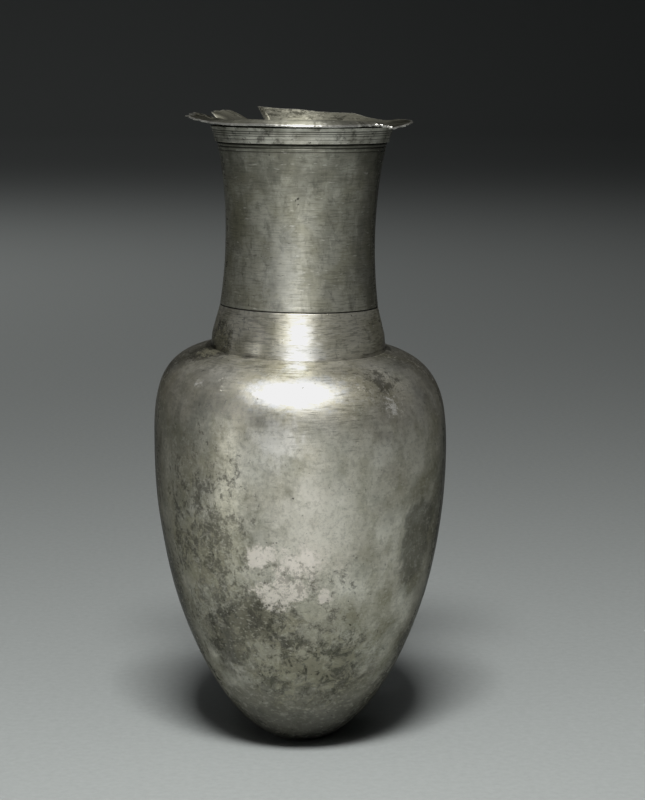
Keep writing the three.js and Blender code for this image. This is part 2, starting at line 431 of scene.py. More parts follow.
def makeNeck():
    top, wall, root = neck["topRadius"], neck["wall"], neck["rebateRadius"]
    lipRoot = bandTop + lip["gap"]
    side = curve((seamRadius, neckFoot),
                 (seamRadius + neck["footSlope"] * neck["footPull"], neckFoot + neck["footPull"]),
                 (top - neck["topSlope"] * neck["topPull"], bandStep - neck["topPull"]),
                 (top, bandStep), neck["sidePoints"])
    inside = [(r - wall, z) for r, z in side[-4:3:-4]]
    side = grooved(side, neck["grooves"])
    count = lip["points"]
    under = [(root + lip["overhang"] * (k / count) ** 2, lipRoot + lip["rise"] * k / count)
             for k in range(count + 1)]
    over = [(r - neck["rebateWall"] * (1 - k / count), z + lip["wall"] * k / count)
            for k, (r, z) in enumerate(under)]
    spigot, thin = neck["spigotRadius"], neck["spigotWall"]
    outline = [(spigot - thin, spigotFoot), (spigot, spigotFoot), (spigot, neckFoot),
               (seamRadius, neckFoot, neck["edge"]), *side[1:-1], (top, bandStep, neck["edge"]),
               (root, bandStep), *under[:-1], (*under[-1], lip["edge"]), (*over[-1], lip["edge"]),
               *over[-2::-1],
               (root - neck["rebateWall"], bandStep - wall), (top - wall, bandStep - wall),
               *inside, (seamRadius - wall, neckFoot + wall), (spigot - thin, neckFoot + wall)]

    def shape(co):
        radius = math.hypot(co.x, co.y)
        degrees = math.degrees(math.atan2(co.y, co.x)) % 360
        fraction = max(0, radius - root) / lip["overhang"]
        if co.z < lipRoot or fraction == 0:
            share = neck["rippleShare"] * smooth(co.z, neckFoot, neckFoot + neck["rippleRise"])
            return bent(movedOut(co, ripple(co, share)))
        around = Vector((math.cos(math.radians(degrees)), math.sin(math.radians(degrees)), 0))
        out, up, arch, tear = [between(degrees, [(row[0], row[k]) for row in lipTears]) for k in (1, 2, 3, 4)]
        rag = sum(deep * noise.noise(around * often) for often, deep in lip["rags"])
        part = math.sqrt(min(fraction, 1))
        reach = root + lip["overhang"] * fraction * (out + tear * rag)
        height = co.z + lip["rise"] * ((up - 1) * part + 4 * arch * part * (1 - part))
        height += lip["wave"] * fraction * noise.noise(around * 4 + Vector((0, 0, fraction)))
        height += lip["raise"] * tear * fraction * noise.noise(around * 24 + Vector((5, 0, 0)))
        return bent(Vector((around.x * reach, around.y * reach, height)))

    # painted shade and dirt in the joint at its foot and just under the band, and dirt in its grooves
    def dirtAndShadeAt(co):
        foot = 1 - smooth(co.z, neckFoot, neckFoot + 0.1)
        under = smooth(co.z, bandStep - 0.4, bandStep - 0.1) * (co.z < lipRoot)
        return max(foot, under, dirtIn(neck["grooves"][1:])(co))

    def wearAndHighlightAt(co):
        # the thin torn edge is rubbed bright, with a painted highlight on it that is strongest at the front
        fraction = (math.hypot(co.x, co.y) - root) / lip["overhang"]
        forward = 0.3 + 0.7 * smooth(-co.y, -4, 14)
        return smooth(fraction, lip["brightEdgeFrom"], 1.0) * forward if co.z > lipRoot else 0

    bore = 6 + len(side) + 2 * count
    return turnPiece("neckTube", outline, neck["steps"], shape, bore, dirtAndShadeAt, wearAndHighlightAt)


# Moulded band under the lip
band = {
    "bore": 22.6,
    "footRadius": 23.9,
    "flare": 0.35,              # mm past the frame's radius at the top
    "cusp": 0.45,               # mm that the outer edge stands over the top
    "rim": 0.9,                 # mm across the cusp
    "edge": 0.16,
    "grooves": [(168.3, 0.12, 0.02), (169.2, 0.16, 0.04), (169.8, 0.18, 0.06), (170.4, 0.18, 0.07)],
    "spread": 1.5,              # power of the curve by which it widens; 1 is a straight cone
    "rippleShare": 0.35,        # how wavy it is beside the body, and how much closer its waves lie
    "rippleCloser": 1.4,
    "sideSteps": 12,
    "steps": 480,
}


def makeBand():
    flare = bandTopRadius + band["flare"] - band["footRadius"]
    tall = bandTop + band["cusp"] - bandFoot
    count = band["sideSteps"]
    side = [(band["footRadius"] + flare * (k / count) ** band["spread"], bandFoot + tall * k / count)
            for k in range(count + 1)]
    side = grooved(side, band["grooves"])
    outline = [(band["bore"], bandFoot), (side[0][0], side[0][1], band["edge"]), *side[1:-1],
               (side[-1][0], side[-1][1], band["edge"]), (side[-1][0] - band["rim"], bandTop),
               (band["bore"], bandTop)]

    def shape(co):
        onFace = math.hypot(co.x, co.y) > band["bore"] + 0.3
        return bent(movedOut(co, ripple(co * band["rippleCloser"], band["rippleShare"]) * onFace))

    return turnPiece("rimBand", outline, band["steps"], shape, None, dirtIn(band["grooves"]))


# Solder rings, each sunk a little behind the surface
solder = {
    "recess": 0.3,
    "steps": 240,
}


def makeSolder(name, inner, face, low, high):
    outer = face - solder["recess"]
    outline = [(inner, low), (outer, low), (outer, high), (inner, high)]
    return turnPiece(name, outline, solder["steps"], bent)


bodyPiece = makeBody()
collarPiece = makeCollar()
neckPiece = makeNeck()
bandPiece = makeBand()
shoulderSolder = makeSolder("shoulderSeamSolder", collar["radius"] - collar["wall"], collar["radius"],
                            shoulderTop - body["seatSink"], collarFoot)
collarSolder = makeSolder("collarSeamSolder", seamRadius - collar["wall"], seamRadius, collarTop, neckFoot)
bandSolder = makeSolder("rimBandSolder", band["bore"], neck["topRadius"], bandStep, bandFoot)

for piece, node, slot in (
    (bodyPiece, "body_shell", "body_silver"),
    (collarPiece, "neck_collar", "collar_silver"),
    (neckPiece, "neck_tube", "neck_silver"),
    (bandPiece, "rim_band", "band_silver"),
    (shoulderSolder, "shoulder_seam_solder", "solder"),
    (collarSolder, "collar_seam_solder", "solder"),
    (bandSolder, "rim_band_solder", "solder"),
):
    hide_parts(node)


# Materials
def colour(code):
    # sRGB hex to the linear values that Blender works in
    parts = [int(code[i:i + 2], 16) / 255 for i in (1, 3, 5)]
    return (*[c / 12.92 if c <= 0.04045 else ((c + 0.055) / 1.055) ** 2.4 for c in parts], 1)


def addNode(tree, kind, inputs, **settings):
    node = tree.nodes.new(kind)
    for name, value in settings.items():
        setattr(node, name, value)
    for socket, value in inputs.items():
        if isinstance(value, bpy.types.NodeSocket):
            tree.links.new(value, node.inputs[socket])
        else:
            node.inputs[socket].default_value = value
    return node


def newMaterial(name):
    material = bpy.data.materials.new(name)
    material.use_nodes = True
    tree = material.node_tree
    shader = tree.nodes["Principled BSDF"]
    return material, tree, shader


def regionMask(tree, inMm, places):
    # 1 in the middle of each (centre, reach) place in mm, falling to 0 at its reach
    mask = None
    for centre, reach in places:
        centred = addNode(tree, "ShaderNodeMapping", {"Vector": inMm, "Location": centre, "Scale": reach},
                          vector_type="TEXTURE").outputs["Vector"]
        spot = addNode(tree, "ShaderNodeTexGradient", {"Vector": centred},
                       gradient_type="SPHERICAL").outputs["Fac"]
        if mask is None:
            mask = spot
        else:
            mask = addNode(tree, "ShaderNodeMath", {0: mask, 1: spot}, operation="MAXIMUM").outputs[0]
    return mask


# A look's sizes are in mm. Each of its layers is noise of one grain, kept to the places in its
# where list by hold, and laid on with its tint from the first value in cover to the second
def tarnishedSilver(name, look):
    material, tree, shader = newMaterial(name)
    place = addNode(tree, "ShaderNodeTexCoord", {}).outputs["Object"]
    inMm = addNode(tree, "ShaderNodeMapping", {"Vector": place, "Scale": (1 / mm,) * 3}).outputs["Vector"]

    # slow clouds from the polished tone to the tarnished one
    cloud = addNode(tree, "ShaderNodeTexNoise", {"Vector": inMm, "Scale": 1 / look["cloudSize"], "Detail": 5})
    cloud = addNode(tree, "ShaderNodeMapRange", {"Value": cloud.outputs["Fac"], "From Min": 0.36,
                                                 "From Max": 0.64}).outputs["Result"]
    tone = addNode(tree, "ShaderNodeMix", {"Factor": cloud, "A": colour(look["tarnished"]),
                                           "B": colour(look["bright"])}, data_type="RGBA").outputs["Result"]
    rough = addNode(tree, "ShaderNodeMapRange", {"Value": cloud, "To Min": look["roughness"] + 0.05,
                                                 "To Max": look["roughness"] - 0.05}).outputs["Result"]

    # burnishing lines left by turning: long across, a fraction of a millimetre high, and drawn
    # several times coarser than the real ones, so that they show
    parts = addNode(tree, "ShaderNodeSeparateXYZ", {"Vector": inMm}).outputs
    along = addNode(tree, "ShaderNodeAttribute", {}, attribute_name="along").outputs["Fac"]
    wrapped = addNode(tree, "ShaderNodeCombineXYZ", {0: parts[0], 1: parts[1], 2: along}).outputs["Vector"]
    streaks = addNode(tree, "ShaderNodeMapping", {
        "Vector": wrapped, "Scale": (1 / look["lineLength"], 1 / look["lineLength"], 1 / look["lineHeight"]),
    }).outputs["Vector"]
    lines = addNode(tree, "ShaderNodeTexNoise", {"Vector": streaks, "Scale": 1, "Detail": 3,
                                                 "Roughness": 0.6}).outputs["Fac"]
    shade = addNode(tree, "ShaderNodeMapRange", {
        "Value": lines, "From Min": 0.3, "From Max": 0.7, "To Min": 1 - look["lineShade"],
        "To Max": 1 + look["lineShade"]}).outputs["Result"]
    tone = addNode(tree, "ShaderNodeVectorMath", {0: tone, 1: shade}, operation="MULTIPLY").outputs["Vector"]
    lineRough = addNode(tree, "ShaderNodeMapRange", {
        "Value": lines, "From Min": 0.35, "From Max": 0.65, "To Min": look["lineRoughness"],
        "To Max": -look["lineRoughness"]}).outputs["Result"]
    rough = addNode(tree, "ShaderNodeMath", {0: rough, 1: lineRough}, operation="ADD").outputs[0]
    height = addNode(tree, "ShaderNodeMath", {0: lines, 1: look["lineDepth"]},
                     operation="MULTIPLY").outputs[0]

    # layers of tarnish, crust and pits, and of painted highlights and shade, each over the one before
    metallic = addNode(tree, "ShaderNodeMapRange", {"Value": cloud, "To Min": look["metallic"] - 0.05,
                                                    "To Max": look["metallic"]}).outputs["Result"]
    for layer in look["layers"]:
        stretched = addNode(tree, "ShaderNodeMapping", {
            "Vector": inMm, "Scale": [1 / (layer["grain"] * s) for s in layer.get("stretch", (1, 1, 1))],
            "Location": layer.get("shift", (0, 0, 0))}).outputs["Vector"]
        grain = addNode(tree, "ShaderNodeTexNoise", {
            "Vector": stretched, "Scale": 1, "Detail": layer.get("detail", 3),
            "Roughness": layer.get("fuzz", 0.55), "Distortion": layer.get("curl", 0)}).outputs["Fac"]
        if "where" in layer:
            region = regionMask(tree, inMm, layer["where"])
            region = addNode(tree, "ShaderNodeMath", {0: region, 1: layer["hold"], 2: -layer["hold"]},
                             operation="MULTIPLY_ADD").outputs[0]
            grain = addNode(tree, "ShaderNodeMath", {0: grain, 1: region}, operation="ADD").outputs[0]
        cover = addNode(tree, "ShaderNodeMapRange", {
            "Value": grain, "From Min": layer["cover"][0], "From Max": layer["cover"][1],
            "To Max": layer["strength"]}, interpolation_type="SMOOTHSTEP").outputs["Result"]
        tone = addNode(tree, "ShaderNodeMix", {"Factor": cover, "A": tone, "B": colour(layer["tint"])},
                       data_type="RGBA").outputs["Result"]
        if "roughness" in layer:
            rough = addNode(tree, "ShaderNodeMix", {"Factor": cover, "A": rough, "B": layer["roughness"]},
                            data_type="FLOAT").outputs["Result"]
        if "metallic" in layer:
            metallic = addNode(tree, "ShaderNodeMix", {
                "Factor": cover, "A": metallic, "B": layer["metallic"]}, data_type="FLOAT").outputs["Result"]
        if "height" in layer:
            height = addNode(tree, "ShaderNodeMath", {0: cover, 1: layer["height"], 2: height},
                             operation="MULTIPLY_ADD").outputs[0]

    # dirt in the grooves with painted shade in the joints and under the band, the dull inside, and the rubbed
    # torn edge with a painted highlight at the front, as the mesh marks them
    for mark, tint, roughness, share in (
            ("dirtAndShade", look["dirtAndShadeTint"], 0.7, 0.85),
            ("inside", look["lining"], 0.55, 0.8),
            ("wearAndHighlight", look["rubbedAndHighlitTint"], 0.25, 0.9)):
        amount = addNode(tree, "ShaderNodeAttribute", {}, attribute_name=mark).outputs["Fac"]
        amount = addNode(tree, "ShaderNodeMath", {0: amount, 1: share}, operation="MULTIPLY").outputs[0]
        tone = addNode(tree, "ShaderNodeMix", {"Factor": amount, "A": tone, "B": colour(tint)},
                       data_type="RGBA").outputs["Result"]
        rough = addNode(tree, "ShaderNodeMix", {"Factor": amount, "A": rough, "B": roughness},
                        data_type="FLOAT").outputs["Result"]

    # facets left by the planishing hammer, under it all
    facets = addNode(tree, "ShaderNodeTexNoise", {"Vector": inMm, "Scale": 1 / look["facetSize"],
                                                  "Detail": 2}).outputs["Fac"]
    height = addNode(tree, "ShaderNodeMath", {0: facets, 1: look["facetDepth"], 2: height},
                     operation="MULTIPLY_ADD").outputs[0]
    normal = addNode(tree, "ShaderNodeBump", {"Height": height, "Distance": mm}).outputs["Normal"]
    tree.links.new(tone, shader.inputs["Base Color"])
    tree.links.new(rough, shader.inputs["Roughness"])
    tree.links.new(metallic, shader.inputs["Metallic"])
    tree.links.new(normal, shader.inputs["Normal"])
    shader.inputs["Anisotropic"].default_value = look["anisotropy"]
    if look["upperAnisotropy"]:
        turn = 4.0              # mm over which the burnishing changes
        stretch = addNode(tree, "ShaderNodeMapRange", {
            "Value": parts[2], "From Min": look["burnishedFrom"] - turn,
            "From Max": look["burnishedFrom"] + turn,
            "To Min": look["anisotropy"], "To Max": look["upperAnisotropy"]}).outputs["Result"]
        tree.links.new(stretch, shader.inputs["Anisotropic"])
    shader.inputs["Anisotropic Rotation"].default_value = 0.25
    shader.inputs["Specular Tint"].default_value = colour(look["edgeTint"])
    shader.inputs["Coat Weight"].default_value = look["polish"]
    shader.inputs["Coat Roughness"].default_value = look["polishRoughness"]
    return material


# Raised sheet silver under a thin sulphide tarnish: grey with a green-brown warmth, softly glossy,
# its lower left eaten into dark pits with pale crust between them
bodySilver = {
    "bright": "#f0ede0", "tarnished": "#b8b4a2", "edgeTint": "#45443f",
    # tints for the dirt with its painted shade, the dull inside, and the rubbed edge with its painted
    # highlight
    "dirtAndShadeTint": "#2e2d28", "lining": "#5c594e", "rubbedAndHighlitTint": "#f2f0e8",
    "cloudSize": 13.0, "roughness": 0.42, "metallic": 0.88,
    "anisotropy": 0.6, "upperAnisotropy": 0.15, "burnishedFrom": 93.0,      # mm up where the shoulder starts
    "polish": 0.2, "polishRoughness": 0.22,     # a faint second gloss where the tarnish is rubbed smooth
    "lineLength": 5.0, "lineHeight": 0.5, "lineShade": 0.035, "lineRoughness": 0.045, "lineDepth": 0.006,
    "facetSize": 4.5, "facetDepth": 0.05,
    "layers": [
        {"grain": 24.0, "cover": (0.45, 0.68), "strength": 0.4, "tint": "#a19a88"},
        {"grain": 17.0, "shift": (7, 3, 5), "cover": (0.5, 0.7), "strength": 0.4, "tint": "#8b9084"},
        {"grain": 8.0, "stretch": (1, 1, 2), "detail": 5, "fuzz": 0.65, "shift": (2, 9, 6),
         "cover": (0.5, 0.6), "strength": 0.28, "tint": "#8d8969"},
        # darker cap at the foot, painted as shade near the floor, and the back and sides painted dark as
        # shade and as the dark reflection of the surroundings
        {"grain": 6.0, "fuzz": 0.6, "where": [((0, -12, 4), (46, 46, 40))], "hold": 1.0, "cover": (-0.4, 0.1),
         "strength": 0.65, "tint": "#55544b", "roughness": 0.5},
        {"grain": 16.0, "detail": 5, "where": [((2, 30, 70), (78, 58, 120))], "hold": 2.5,
         "cover": (-2.0, -1.45), "strength": 0.66, "tint": "#46453c"},
        {"grain": 5.0, "stretch": (1, 1, 1.4), "detail": 6, "fuzz": 0.75, "shift": (5, 8, 3),
         "where": [((0, 40, 70), (60, 50, 110))], "hold": 0.4, "cover": (0.32, 0.46), "strength": 0.5,
         "tint": "#9a9886"},
        # uneven haze in upright patches
        {"grain": 6.0, "stretch": (1, 1, 1.8), "detail": 6, "fuzz": 0.7, "shift": (8, 8, 0),
         "where": [((-24, -24, 64), (44, 50, 80))], "hold": 0.3, "cover": (0.3, 0.46), "strength": 0.38,
         "tint": "#838276"},
        # painted shade and dark reflections in the large dent on the right and in the dent at the shoulder
        {"grain": 6.0, "detail": 3, "shift": (4, 4, 4), "where": [((33, -23, 60), (19, 21, 30))],
         "hold": 2.4, "cover": (-0.58, -0.4), "strength": 0.46, "tint": "#494a44", "roughness": 0.36},
        {"grain": 2.6, "detail": 7, "fuzz": 0.8, "shift": (4, 1, 4),
         "where": [((22, -27, 104.6), (14, 14, 9))], "hold": 0.35, "cover": (0.32, 0.46),
         "strength": 0.68, "tint": "#45443b", "height": -0.03},
        # painted light on the front, brighter where the lamps fall on it
        {"grain": 7.0, "stretch": (1, 1, 1.4), "detail": 5, "fuzz": 0.6, "shift": (1, 5, 2),
         "where": [((2, -40, 65), (30, 24, 36))], "hold": 0.8, "cover": (-0.05, 0.4), "strength": 0.76,
         "tint": "#fdf8ec"},
        # the front of the shoulder, painted a cool neutral white in ragged patches under the key's highlight,
        # to colour and shape it
        {"grain": 2.2, "stretch": (1.8, 1.8, 0.8), "detail": 6, "fuzz": 0.75, "shift": (5, 1, 1),
         "where": [((-2, -35, 103), (30, 18, 12)), ((-1, -28, 109), (8, 12, 6))], "hold": 0.5,
         "cover": (0.2, 0.5), "strength": 0.8, "tint": "#ced1d4", "roughness": 0.38},
        # and a painted white glow of highlight below it
        {"grain": 3.0, "stretch": (1, 1, 1.6), "detail": 6, "fuzz": 0.7, "shift": (7, 2, 2),
         "where": [((-6, -40, 91), (13, 12, 12))], "hold": 0.7, "cover": (0.0, 0.4), "strength": 0.6,
         "tint": "#fffdf8", "metallic": 0.7},
        # greenish mottling on the left and below
        {"grain": 4.6, "fuzz": 0.7, "detail": 5,
         "where": [((-22, -30, 56), (30, 30, 50)), ((2, -32, 28), (36, 26, 28))],
         "hold": 0.45, "cover": (0.2, 0.5), "strength": 0.4, "tint": "#7a785f", "roughness": 0.55},
        # a paler upright streak left of the middle
        {"grain": 4.0, "stretch": (1, 1, 2), "detail": 5, "fuzz": 0.65, "shift": (7, 7, 1),
         "where": [((-19, -34, 72), (8, 14, 30))], "hold": 0.8, "cover": (-0.1, 0.35), "strength": 0.5,
         "tint": "#efebd6"},
        # pale crust, blooming softly to the right
        {"grain": 3.0, "stretch": (1, 1, 1.3), "detail": 6, "fuzz": 0.7, "shift": (6, 0, 6),
         "where": [((2, -38, 59), (17, 14, 13))], "hold": 0.8, "cover": (0.0, 0.4), "strength": 0.5,
         "tint": "#f6eee0", "metallic": 0.65},
        # small dark specks in loose clusters
        {"grain": 3.2, "stretch": (1, 1, 1.3), "detail": 7, "fuzz": 0.8, "curl": 0.3, "shift": (3, 7, 1),
         "where": [((-24, -28, 60), (26, 28, 52)), ((-2, -34, 34), (38, 24, 36))], "hold": 0.25,
         "cover": (0.38, 0.47), "strength": 0.6, "tint": "#3b3a33", "roughness": 0.6, "height": -0.03},
        # fine broken tarnish all over
        {"grain": 1.2, "detail": 6, "fuzz": 0.8, "shift": (7, 4, 4), "cover": (0.5, 0.58), "strength": 0.24,
         "tint": "#5f5e52"},
        {"grain": 1.5, "stretch": (1.3, 1.3, 1), "detail": 6, "fuzz": 0.8, "shift": (2, 8, 8),
         "cover": (0.53, 0.6), "strength": 0.26, "tint": "#f6f3e6"},
        # etched, finely pitted surface below
        {"grain": 1.3, "detail": 6, "fuzz": 0.8, "shift": (6, 2, 8),
         "where": [((-16, -32, 48), (40, 34, 46)), ((8, -30, 26), (40, 30, 30))], "hold": 0.35,
         "cover": (0.2, 0.45), "strength": 0.18, "tint": "#8a8873", "height": 0.08},
        # flaking dark tarnish below and left of the pale patch, with paler metal showing through
        {"grain": 6.0, "detail": 7, "fuzz": 0.72, "curl": 0.4, "shift": (2, 2, 6),
         "where": [((-12, -32, 38), (30, 26, 22)), ((6, -30, 26), (30, 26, 20)),
                   ((-20, -22, 34), (16, 18, 16))],
         "hold": 0.45, "cover": (0.26, 0.38), "strength": 0.55, "tint": "#45443b", "roughness": 0.5},
        {"grain": 3.4, "detail": 7, "fuzz": 0.74, "curl": 0.5, "shift": (8, 1, 2),
         "where": [((-12, -32, 38), (30, 28, 30)), ((4, -30, 26), (34, 26, 22)),
                   ((-26, -24, 56), (18, 22, 32))],
         "hold": 0.25, "cover": (0.4, 0.5), "strength": 0.55, "tint": "#bdb9a2", "height": 0.05},
        # lighter blotches low at the front
        {"grain": 5.0, "detail": 7, "fuzz": 0.74, "curl": 0.4, "shift": (8, 5, 8),
         "where": [((4, -32, 40), (26, 18, 28)), ((-10, -32, 30), (9, 14, 18))], "hold": 0.35,
         "cover": (0.36, 0.46), "strength": 0.5, "tint": "#cfccba", "height": 0.03},
        # dark crust beside the pale patch
        {"grain": 3.6, "detail": 7, "fuzz": 0.74, "curl": 0.4, "shift": (9, 2, 4),
         "where": [((-14, -33, 41), (14, 18, 11)), ((-20, -26, 33), (9, 15, 16))], "hold": 0.55,
         "cover": (0.08, 0.3), "strength": 0.5, "tint": "#48473e", "roughness": 0.6, "height": -0.02},
        # the pale crust itself, chipped at its edges
        {"grain": 4.2, "shift": (3, 1, 0), "detail": 7, "fuzz": 0.78,
         "where": [((-4.5, -37.5, 50), (15, 14, 9)), ((-0.5, -38, 57.5), (13, 14, 8)),
                   ((6.3, -36.5, 48), (4, 8, 4)), ((-11, -37, 59), (8, 12, 7))],
         "hold": 0.4, "cover": (0.26, 0.38), "strength": 0.8, "tint": "#fdf5ea", "roughness": 0.5,
         "metallic": 0.55, "height": 0.05},
        {"grain": 1.5, "detail": 6, "fuzz": 0.8, "shift": (1, 1, 7), "where": [((-3, -38, 53), (22, 16, 16))],
         "hold": 0.25, "cover": (0.42, 0.5), "strength": 0.5, "tint": "#6a6558", "height": -0.03},
        # the tip, dull and grey, painted darker as the shade near the floor
        {"grain": 5.0, "detail": 5, "where": [((0, -6, 4), (28, 40, 18))], "hold": 1.0, "cover": (-0.4, 0.1),
         "strength": 0.5, "tint": "#5c5c58", "roughness": 0.5},
        # painted glints on the shoulder's dents and at the left edge of its highlight, in speckled patches
        {"grain": 1.5, "shift": (1, 6, 2), "detail": 7, "fuzz": 0.85,
         "where": [((24.4, -30, 98.6), (10, 10, 9)), ((23, -26, 108), (9, 9, 3)),
                   ((-27.5, -25.5, 104.2), (7, 7, 3)), ((-13, -36, 103), (7, 8, 9))],
         "hold": 0.35, "cover": (0.4, 0.5), "strength": 0.8, "tint": "#fffdf6", "roughness": 0.36,
         "metallic": 0.75},
        # lumps of dirty solder left of the collar's foot, with pale flecks
        {"grain": 2.2, "detail": 6, "fuzz": 0.78, "shift": (9, 9, 1),
         "where": [((-24, -9, 111), (14, 14, 7))], "hold": 0.7, "cover": (-0.05, 0.2),
         "strength": 0.8, "tint": "#36352d", "roughness": 0.65, "height": 0.05},
        {"grain": 1.2, "detail": 4, "fuzz": 0.8, "shift": (1, 9, 4),
         "where": [((-24, -10, 111), (11, 11, 6))], "hold": 0.5, "cover": (0.3, 0.38),
         "strength": 0.45, "tint": "#b9b59c", "height": 0.06},
        {"grain": 0.8, "stretch": (1.4, 1.4, 1), "shift": (5, 5, 5), "detail": 2,
         "where": [((-14, -30, 52), (38, 30, 34))], "hold": 0.12, "cover": (0.52, 0.61), "strength": 0.3,
         "tint": "#e6e3d2", "height": 0.015},
        {"grain": 1.0, "cover": (0.7, 0.76), "strength": 0.9, "tint": "#2c2b26", "height": -0.06},
        # fine scratches round the seat of the collar and the front of the shoulder
        {"grain": 0.4, "stretch": (9, 9, 1), "detail": 4, "fuzz": 0.65, "shift": (4, 2, 2),
         "where": [((0, -20, 110), (40, 40, 6)), ((8, -34, 100), (30, 20, 18))], "hold": 0.15,
         "cover": (0.48, 0.58), "strength": 0.4, "tint": "#56554b", "height": -0.01},
    ],
}

# The collar is the same silver, burnished harder and crossed by finer turned lines
collarSilver = {**bodySilver, "bright": "#ece8da", "tarnished": "#bbb7a4", "roughness": 0.42,
                "anisotropy": 0.88, "upperAnisotropy": 0.66, "burnishedFrom": 115.5,
                "lineHeight": 0.4, "lineShade": 0.08, "layers": [
    {"grain": 9.0, "detail": 5, "cover": (0.48, 0.66), "strength": 0.5, "tint": "#8f8b72"},
    {"grain": 2.2, "stretch": (1, 1, 2.2), "detail": 5, "fuzz": 0.7, "cover": (0.52, 0.68), "strength": 0.45,
     "tint": "#6f6d60"},
    # dirty solder at its left, with pale flecks
    {"grain": 2.4, "detail": 6, "fuzz": 0.75, "where": [((-21, -10, 114), (13, 13, 10))], "hold": 0.8,
     "cover": (0.05, 0.25), "strength": 0.8, "tint": "#3d3c33", "roughness": 0.65, "height": 0.06},
    {"grain": 1.1, "detail": 4, "fuzz": 0.75, "shift": (3, 3, 3), "where": [((-21, -10, 113), (12, 13, 9))],
     "hold": 0.5, "cover": (0.25, 0.36), "strength": 0.6, "tint": "#b9b59c", "height": 0.06},
    # painted highlight down the front, wider towards the foot, in ragged white patches
    {"grain": 1.6, "stretch": (2.5, 2.5, 0.6), "detail": 6, "fuzz": 0.75, "shift": (6, 2, 5),
     "where": [((0.5, -24, 111.5), (13, 12, 6)), ((0.5, -22, 115), (6, 10, 10))], "hold": 0.8,
     "cover": (-0.1, 0.4), "strength": 0.8, "tint": "#f6f6f3", "roughness": 0.42},
    {"grain": 0.9, "cover": (0.68, 0.74), "strength": 0.8, "tint": "#2c2b26", "height": -0.05},
    # fine dark and bright scratches, coarser than the real ones
    {"grain": 0.4, "stretch": (8, 8, 1), "detail": 4, "fuzz": 0.65, "shift": (4, 2, 2), "cover": (0.5, 0.6),
     "strength": 0.42, "tint": "#56554b", "height": -0.01},
    {"grain": 0.4, "stretch": (6, 6, 1), "detail": 4, "fuzz": 0.65, "shift": (1, 7, 5), "cover": (0.56, 0.66),
     "strength": 0.4, "tint": "#f4f2e8", "height": 0.01},
]}

# The neck's silver keeps more tarnish, olive at the left, with short bright and dark scratches
neckSilver = {**collarSilver, "bright": "#d2d0c2", "tarnished": "#a8a695", "roughness": 0.44,
              "anisotropy": 0.6, "upperAnisotropy": None, "cloudSize": 7.0, "lineShade": 0.09, "layers": [
    {"grain": 5.0, "stretch": (1, 1, 1.8), "detail": 6, "fuzz": 0.7, "curl": 0.6, "cover": (0.44, 0.58),
     "strength": 0.42, "tint": "#838275"},
    # duller towards the band, painted shade down the right edge, and olive at the left
    {"grain": 5.0, "detail": 5, "where": [((0, 0, 172), (70, 70, 30))], "hold": 1.0, "cover": (-0.3, 0.2),
     "strength": 0.6, "tint": "#6f6e63"},
    {"grain": 8.0, "stretch": (1, 1, 2), "detail": 5, "where": [((24, -10, 146), (16, 20, 60))], "hold": 1.0,
     "cover": (-0.3, 0.1), "strength": 0.5, "tint": "#55544a"},
    {"grain": 9.0, "detail": 5, "fuzz": 0.65, "where": [((-19, -12, 146), (20, 24, 36))], "hold": 0.7,
     "cover": (0.1, 0.5), "strength": 0.6, "tint": "#7f7c65"},
    {"grain": 2.0, "stretch": (1, 1, 1.8), "detail": 5, "fuzz": 0.75, "shift": (4, 8, 2),
     "cover": (0.52, 0.64), "strength": 0.35, "tint": "#5f5f54"},
    # scratches round it, coarser than the real ones
    {"grain": 0.45, "stretch": (9, 9, 1), "detail": 4, "fuzz": 0.65, "shift": (3, 6, 1), "cover": (0.5, 0.6),
     "strength": 0.3, "tint": "#5a594e", "height": -0.01},
    # a painted highlight streak down the front
    {"grain": 2.0, "stretch": (1, 1, 0.8), "detail": 6, "fuzz": 0.7, "shift": (2, 4, 6),
     "where": [((-5, -22, 132), (11, 10, 24))], "hold": 0.7, "cover": (0.0, 0.4), "strength": 0.3,
     "tint": "#efefe9", "roughness": 0.4},
    # short nicks, bright and dark, then one dark pit and small ones all over
    {"grain": 0.55, "stretch": (5, 5, 1), "shift": (2, 2, 9), "cover": (0.62, 0.74), "strength": 0.5,
     "tint": "#f6f4ea"},
    {"grain": 0.55, "stretch": (4, 4, 1), "shift": (7, 1, 3), "cover": (0.64, 0.74), "strength": 0.5,
     "tint": "#4d4c43"},
    {"grain": 0.9, "where": [((-0.6, -22.5, 151.5), (2.2, 4, 5.5))], "hold": 0.6, "cover": (0.3, 0.42),
     "strength": 0.9, "tint": "#1d1c18", "height": -0.08},
    {"grain": 0.9, "cover": (0.71, 0.77), "strength": 0.9, "tint": "#262520", "height": -0.05},
    # the lip's upper side is blotched
    {"grain": 10.0, "where": [((0, 24, 175), (50, 40, 9)), ((-28, 6, 174), (16, 20, 7)),
                              ((28, 4, 173), (12, 18, 5))],
     "hold": 0.8, "cover": (-0.2, 0.15), "strength": 0.6, "tint": "#8a8878", "roughness": 0.62},
    {"grain": 4.0, "detail": 5, "where": [((-29, 3, 173.5), (15, 17, 7)), ((31, -1, 172.5), (11, 17, 6))],
     "hold": 0.8, "cover": (-0.2, 0.15), "strength": 0.75, "tint": "#38372f", "roughness": 0.65},
    {"grain": 3.0, "detail": 6, "fuzz": 0.75, "shift": (6, 6, 6),
     "where": [((0, 24, 175), (50, 40, 9)), ((-28, 6, 174), (16, 20, 7)), ((29, 2, 173), (14, 20, 7))],
     "hold": 0.4, "cover": (0.4, 0.5), "strength": 0.75, "tint": "#35342b", "roughness": 0.65},
    {"grain": 1.8, "stretch": (1.5, 1.5, 1), "detail": 5, "fuzz": 0.75, "shift": (2, 6, 1),
     "where": [((0, 24, 175), (50, 40, 9)), ((-28, 6, 174), (16, 20, 7))], "hold": 0.3, "cover": (0.46, 0.54),
     "strength": 0.45, "tint": "#c9c6b4"},
]}

